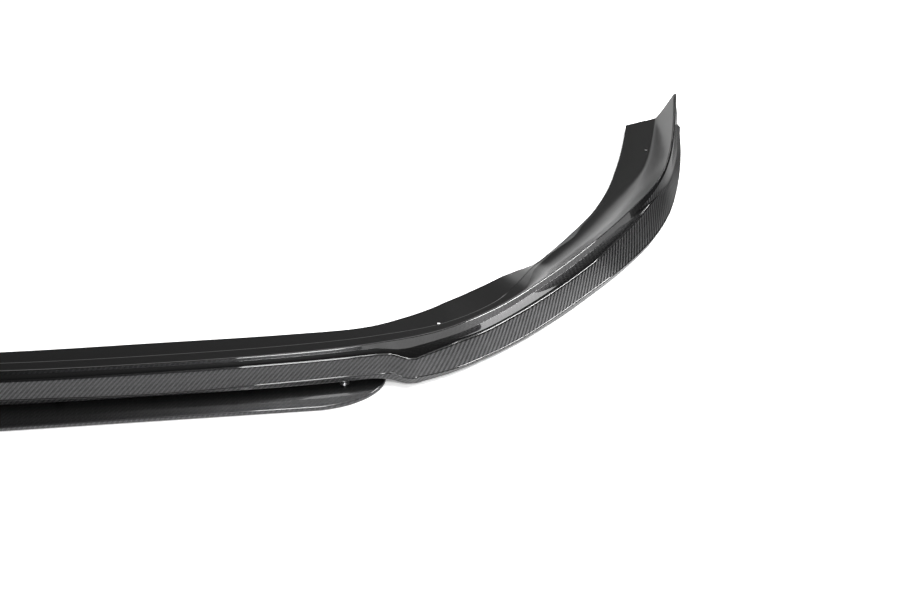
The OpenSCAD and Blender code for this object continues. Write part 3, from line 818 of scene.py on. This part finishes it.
def lip_panel():
    """The panel in its solid's place, with the mounting holes and the holes for the blade's screws."""
    verts, data, faces = panel_mesh()
    piece = add_mesh("lip_moulding", verts, faces, data)
    piece.data.materials.append(PANEL_SKIN)
    piece.data.materials.append(INSIDE)
    n_out = len(upper_side(0))
    ring = n_out + len(corners(0))
    for face in piece.data.polygons:
        inner = [v for v in face.vertices if v % ring >= n_out]
        if len(inner) >= 3:
            face.material_index = 1
    flange_in = along(STEP_D, FLANGE_HOLE_AT) + STEP_W + HOLE_D / 2 + FLANGE_HOLE_EDGE
    flange = place(FLANGE_HOLE_AT, flange_in, 0)
    tab = place(TAB_HOLE_AT, along(REAR_D, TAB_HOLE_AT) - TAB_HOLE_IN, 0)
    holes = [(flange.x, flange.y, HOLE_D, *FLANGE_CUT), (tab.x, tab.y, HOLE_D, *TAB_CUT)]
    bored(piece, holes + [(x, y, BORE_D, *RETURN_CUT) for x, y in SCREWS])
    sharpen(piece, CREASE)
    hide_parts("lip_panel")
    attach(piece, "root")


BLADE_HALF = 350
BLADE_FRONT = 41
BLADE_REAR = 38
BLADE_ROUND = 110
BLADE_T = 8.5
BLADE_REAR_T = 5.5
BLADE_EDGE_R = 2.4
# Where the blade is longest, and the two points of its rear corner: before its end, before its rear edge
WIDEST_Y = 20
REAR_CORNER = [(4, 6), (14, 0)]
BLADE_STEPS = 8
BLADE_ROUND_STEPS = 40
BLADE_EDGE_STEPS = 6


def blade_outline(inset):
    """The blade seen from above, drawn in by inset all round."""
    a = BLADE_ROUND - inset
    front = BLADE_FRONT - inset
    rear = BLADE_REAR - inset
    x0 = BLADE_HALF - BLADE_ROUND
    half = [(x0 * n / BLADE_STEPS, -front) for n in range(1, BLADE_STEPS)]
    for n in range(BLADE_ROUND_STEPS + 1):
        t = math.radians(90 * n / BLADE_ROUND_STEPS)
        half.append((x0 + a * math.sin(t), WIDEST_Y - (WIDEST_Y + front) * math.cos(t)))
    half += [(x0 + a - before, rear - short) for before, short in REAR_CORNER]
    return [(0, -front)] + half + [(-x, y) for x, y in reversed(half)]


def blade_top(y):
    """Height of the blade's top, which falls from the front edge to its widest place and is level behind."""
    fall = (BLADE_T - BLADE_REAR_T) / (WIDEST_Y + BLADE_FRONT - BLADE_EDGE_R)
    return BLADE_REAR_T + fall * max(0, WIDEST_Y - y)


def centre_blade():
    """The blade in its solid's place, with the stepped holes for its screws."""
    turns = [math.radians(90 * n / BLADE_EDGE_STEPS) for n in range(BLADE_EDGE_STEPS + 1)]
    rings = []
    for q in turns:
        rings.append([(x, y, BLADE_EDGE_R * (1 - math.cos(q)))
                      for x, y in blade_outline(BLADE_EDGE_R * (1 - math.sin(q)))])
    for q in turns:
        rings.append([(x, y, blade_top(y) - BLADE_EDGE_R * (1 - math.sin(q)))
                      for x, y in blade_outline(BLADE_EDGE_R * (1 - math.cos(q)))])
    m = len(rings[0])
    verts = [Vector(p) * MM for ring in rings for p in ring]
    data = []
    for x, y, z in (p for ring in rings for p in ring):
        under = z < BLADE_T / 2
        data.append((Vector((x, y - z if under else y)), x, 0))
    faces = []
    for j in range(len(rings) - 1):
        for n in range(m):
            a = j * m + n
            b = j * m + (n + 1) % m
            faces.append((a, b, b + m, a + m))
    top = (len(rings) - 1) * m
    for n in range(m // 2):
        a = n
        b = n + 1
        c = (m - n - 1) % m
        d = (m - n) % m
        if b == c:
            continue
        for ring, turned in ((0, True), (top, False)):
            corner = [ring + a, ring + b, ring + c, ring + d] if n else [ring + a, ring + b, ring + c]
            faces.append(tuple(reversed(corner)) if turned else tuple(corner))
    piece = add_mesh("blade_moulding", verts, faces, data)
    piece.data.materials.append(BLADE_SKIN)
    piece.data.materials.append(INSIDE)
    shank = (BORE_D, BELOW_BLADE, OVER_BLADE)
    head = (COUNTER_D, BELOW_BLADE, COUNTER_H)
    seat = (SPOT_D, BLADE_REAR_T, OVER_BLADE)
    for cut in (shank, head, seat):
        bored(piece, [(x, y, *cut) for x, y in SCREWS])
    sharpen(piece, CREASE)
    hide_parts("centre_blade")
    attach(piece, "root")


lip_panel()
centre_blade()
FASTENERS = {
    "blade_sleeves": plated("turned aluminium", (0.66, 0.66, 0.67), 0.25, 2500),
    "blade_screws": plated("plated screws", (0.52, 0.53, 0.55), 0.3, 900),
    "blade_washers": plated("plated washers", (0.56, 0.57, 0.58), 0.3, 900),
    "blade_nuts": plated("plated nuts", (0.5, 0.51, 0.53), 0.32, 900),
}
for node, metal in FASTENERS.items():
    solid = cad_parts[node]
    solid.data.materials.clear()
    solid.data.materials.append(metal)

# Stage, camera and light

FLOOR_HALF = 30
FLOOR_DROP = 0.0003
PAPER = 0.85
# The floor's own glow to the camera near the piece; it grows to a full white round this place
NEAR_GLOW = 0.25
GLOW_CENTRE = (0, 0.25, 0)
WHITE_AT = 1.15
WHITE_STEP = 0.7
# The floor in shiny surfaces, a painted reflection: its level in front, what the rear adds, the share of
# # painted shade beside the wing, and how much of that shade ends further back; then the shares of the level
# # that the lamps light and that glow
FRONT_LEVEL = 0.55
REAR_LEVEL = 0.6
BESIDE_SHADE = 0.88
FAR_RETURN = 0.35
LIT_SHARE = 0.2
GLOW_SHARE = 0.5
# Place and width of the changes to the rear, beside the wing and further back, in metres
REAR_STEP = (0.1, 0.4)
BESIDE_STEP = (0.84, 0.24)
FAR_STEP = (0.7, 0.4)


def floor_shown(tree, paper, where):
    """The floor as the camera sees it: pale paper that keeps the shadow, and full white further out."""
    nodes, links = tree.nodes, tree.links
    glow = nodes.new("ShaderNodeEmission")
    away = nodes.new("ShaderNodeVectorMath")
    away.operation = "DISTANCE"
    away.inputs[1].default_value = GLOW_CENTRE
    links.new(where, away.inputs[0])
    outside = step_at(tree, away.outputs["Value"], WHITE_AT, WHITE_STEP)
    links.new(calc(tree, "MULTIPLY_ADD", outside, 1 - NEAR_GLOW, NEAR_GLOW), glow.inputs["Strength"])
    seen = nodes.new("ShaderNodeAddShader")
    links.new(paper, seen.inputs[0])
    links.new(glow.outputs[0], seen.inputs[1])
    return seen.outputs[0]


def floor_mirrored(tree, where):
    """The floor as shiny surfaces see it, a painted reflection: paler to the rear, with painted shade beside
    the wing.
    """
    nodes, links = tree.nodes, tree.links
    axes = nodes.new("ShaderNodeSeparateXYZ")
    links.new(where, axes.inputs[0])
    behind = step_at(tree, axes.outputs[1], *REAR_STEP)
    beside = step_at(tree, axes.outputs[0], *BESIDE_STEP)
    far = step_at(tree, axes.outputs[1], *FAR_STEP)
    # Painted shade in the floor's reflection, beside the wing
    shade_beside = calc(tree, "MULTIPLY", beside, calc(tree, "MULTIPLY_ADD", far, -FAR_RETURN, 1))
    pale = calc(tree, "MULTIPLY_ADD", behind, REAR_LEVEL, FRONT_LEVEL)
    level = calc(tree, "MULTIPLY", pale, calc(tree, "MULTIPLY_ADD", shade_beside, -BESIDE_SHADE, 1))
    lit = nodes.new("ShaderNodeBsdfDiffuse")
    grey = nodes.new("ShaderNodeCombineColor")
    for n in range(3):
        links.new(calc(tree, "MULTIPLY", level, LIT_SHARE), grey.inputs[n])
    links.new(grey.outputs[0], lit.inputs["Color"])
    glow = nodes.new("ShaderNodeEmission")
    links.new(calc(tree, "MULTIPLY", level, GLOW_SHARE), glow.inputs["Strength"])
    both = nodes.new("ShaderNodeAddShader")
    links.new(lit.outputs[0], both.inputs[0])
    links.new(glow.outputs[0], both.inputs[1])
    return both.outputs[0]


def mixed(tree, factor, first, second):
    """A shader that is first where factor is 0 and second where it is 1."""
    mix = tree.nodes.new("ShaderNodeMixShader")
    for n, socket in enumerate((factor, first, second)):
        tree.links.new(socket, mix.inputs[n])
    return mix.outputs[0]


def floor():
    """The studio's floor, just below the piece. It lights the piece as plain pale paper does."""
    edge = FLOOR_HALF
    corner = [(-edge, -edge, 0), (edge, -edge, 0), (edge, edge, 0), (-edge, edge, 0)]
    piece = add_mesh("studio_floor", corner, [(0, 1, 2, 3)])
    piece.location.z = -FLOOR_DROP
    material, nodes, links = new_material("studio floor")
    nodes.remove(nodes["Principled BSDF"])
    tree = material.node_tree
    paper = nodes.new("ShaderNodeBsdfDiffuse")
    paper.inputs["Color"].default_value = (PAPER, PAPER, PAPER, 1)
    where = nodes.new("ShaderNodeNewGeometry").outputs["Position"]
    path = nodes.new("ShaderNodeLightPath")
    light = mixed(tree, path.outputs["Is Glossy Ray"], paper.outputs[0], floor_mirrored(tree, where))
    shown = floor_shown(tree, paper.outputs[0], where)
    links.new(mixed(tree, path.outputs["Is Camera Ray"], light, shown), nodes["Material Output"].inputs[0])
    piece.data.materials.append(material)


# Brightness of the sky by the sine of the height over the horizon, and its change to the rear and sides
SKY_STOPS = [(0.0, 0.95), (0.1, 0.95), (0.42, 0.1), (0.8, 0.1), (0.93, 0.3), (1.0, 0.4)]
SKY_LEVEL = 0.6
SKY_REAR = 0.4
SKY_SIDES = -0.4


def sky():
    """White to the camera. To surfaces it is a pale wall that fades out by 25 degrees up, darkness over it
    and a dim ceiling, brightest in the rear and dimmer to the front and both sides."""
    world = bpy.data.worlds.new("studio")
    bpy.context.scene.world = world
    world.use_nodes = True
    tree = world.node_tree
    nodes, links = tree.nodes, tree.links
    room = nodes["Background"]
    where = nodes.new("ShaderNodeTexCoord")
    axes = nodes.new("ShaderNodeSeparateXYZ")
    links.new(where.outputs["Generated"], axes.inputs[0])
    ramp = nodes.new("ShaderNodeValToRGB")
    ramp.color_ramp.interpolation = "EASE"
    while len(ramp.color_ramp.elements) < len(SKY_STOPS):
        ramp.color_ramp.elements.new(0.5)
    for element, (at, level) in zip(ramp.color_ramp.elements, SKY_STOPS):
        element.position = at
        element.color = (level, level, level, 1)
    links.new(axes.outputs[2], ramp.inputs[0])
    links.new(ramp.outputs[0], room.inputs["Color"])
    side = calc(tree, "MULTIPLY", calc(tree, "ABSOLUTE", axes.outputs[0]), SKY_SIDES)
    turn = calc(tree, "MULTIPLY_ADD", axes.outputs[1], SKY_REAR, SKY_LEVEL)
    links.new(calc(tree, "ADD", turn, side), room.inputs["Strength"])
    white = nodes.new("ShaderNodeBackground")
    white.inputs["Color"].default_value = (1, 1, 1, 1)
    path = nodes.new("ShaderNodeLightPath")
    shown = mixed(tree, path.outputs["Is Camera Ray"], room.outputs[0], white.outputs[0])
    links.new(shown, nodes["World Output"].inputs["Surface"])


def softbox(name, at, turn, width, length, radiance):
    """A level rectangular lamp that shines down, turned by that many degrees, with that radiance."""
    light = bpy.data.lights.new(name, "AREA")
    light.shape = "RECTANGLE"
    light.size = width
    light.size_y = length
    light.energy = radiance * width * length * math.pi
    lamp = bpy.data.objects.new(name, light)
    lamp.location = at
    lamp.rotation_euler.z = math.radians(turn)
    bpy.context.scene.collection.objects.link(lamp)


# Lamps that draw the highlights on crest, ledge, brow and cove: name, place in metres, turn in degrees,
# width and length in metres, radiance
LAMPS = [
    ("overhead_front", (0.225, -0.92, 1.6), 0, 0.37, 0.5, 40),
    ("overhead_rear", (0.225, 0.2, 1.6), 0, 0.37, 0.3, 30),
    ("kink_band", (0.58, -0.3, 1.61), -63, 1.0, 0.72, 2),
    ("middle_band", (1.83, 0.115, 1.62), -63, 0.7, 1.88, 2.2),
    ("right_box", (1.16, 0.66, 1.6), 24.5, 0.34, 0.85, 8),
    ("right_core", (1.57, 0.38, 1.59), -50, 0.22, 0.9, 80),
    ("rear_core", (1.88, 2.0, 1.6), -8, 0.16, 1.1, 20),
]

# The photo's view: the camera's place, its angles in degrees and its focal length in pixels of the photo
CAMERA_AT = Vector((308.5, -1740.9, 1909.2)) * MM
LOOK_DOWN = 45
LOOK_SIDE = 5
FOCAL_PX = 1700
PHOTO_W = 920
SENSOR = 36


def camera():
    """The camera, upright, with the photo's view."""
    data = bpy.data.cameras.new("camera")
    data.sensor_width = SENSOR
    data.lens = FOCAL_PX / PHOTO_W * SENSOR
    data.clip_end = 100
    piece = bpy.data.objects.new("camera", data)
    down = math.radians(LOOK_DOWN)
    side = math.radians(LOOK_SIDE)
    look = Vector((math.sin(side) * math.cos(down), math.cos(side) * math.cos(down), -math.sin(down)))
    right = Vector((math.cos(side), -math.sin(side), 0))
    up = right.cross(look)
    turn = Matrix((right, up, -look)).transposed().to_4x4()
    piece.matrix_world = Matrix.Translation(CAMERA_AT) @ turn
    bpy.context.scene.collection.objects.link(piece)
    bpy.context.scene.camera = piece


floor()
sky()
for lamp in LAMPS:
    softbox(*lamp)
camera()
bpy.context.scene.view_settings.view_transform = "Standard"
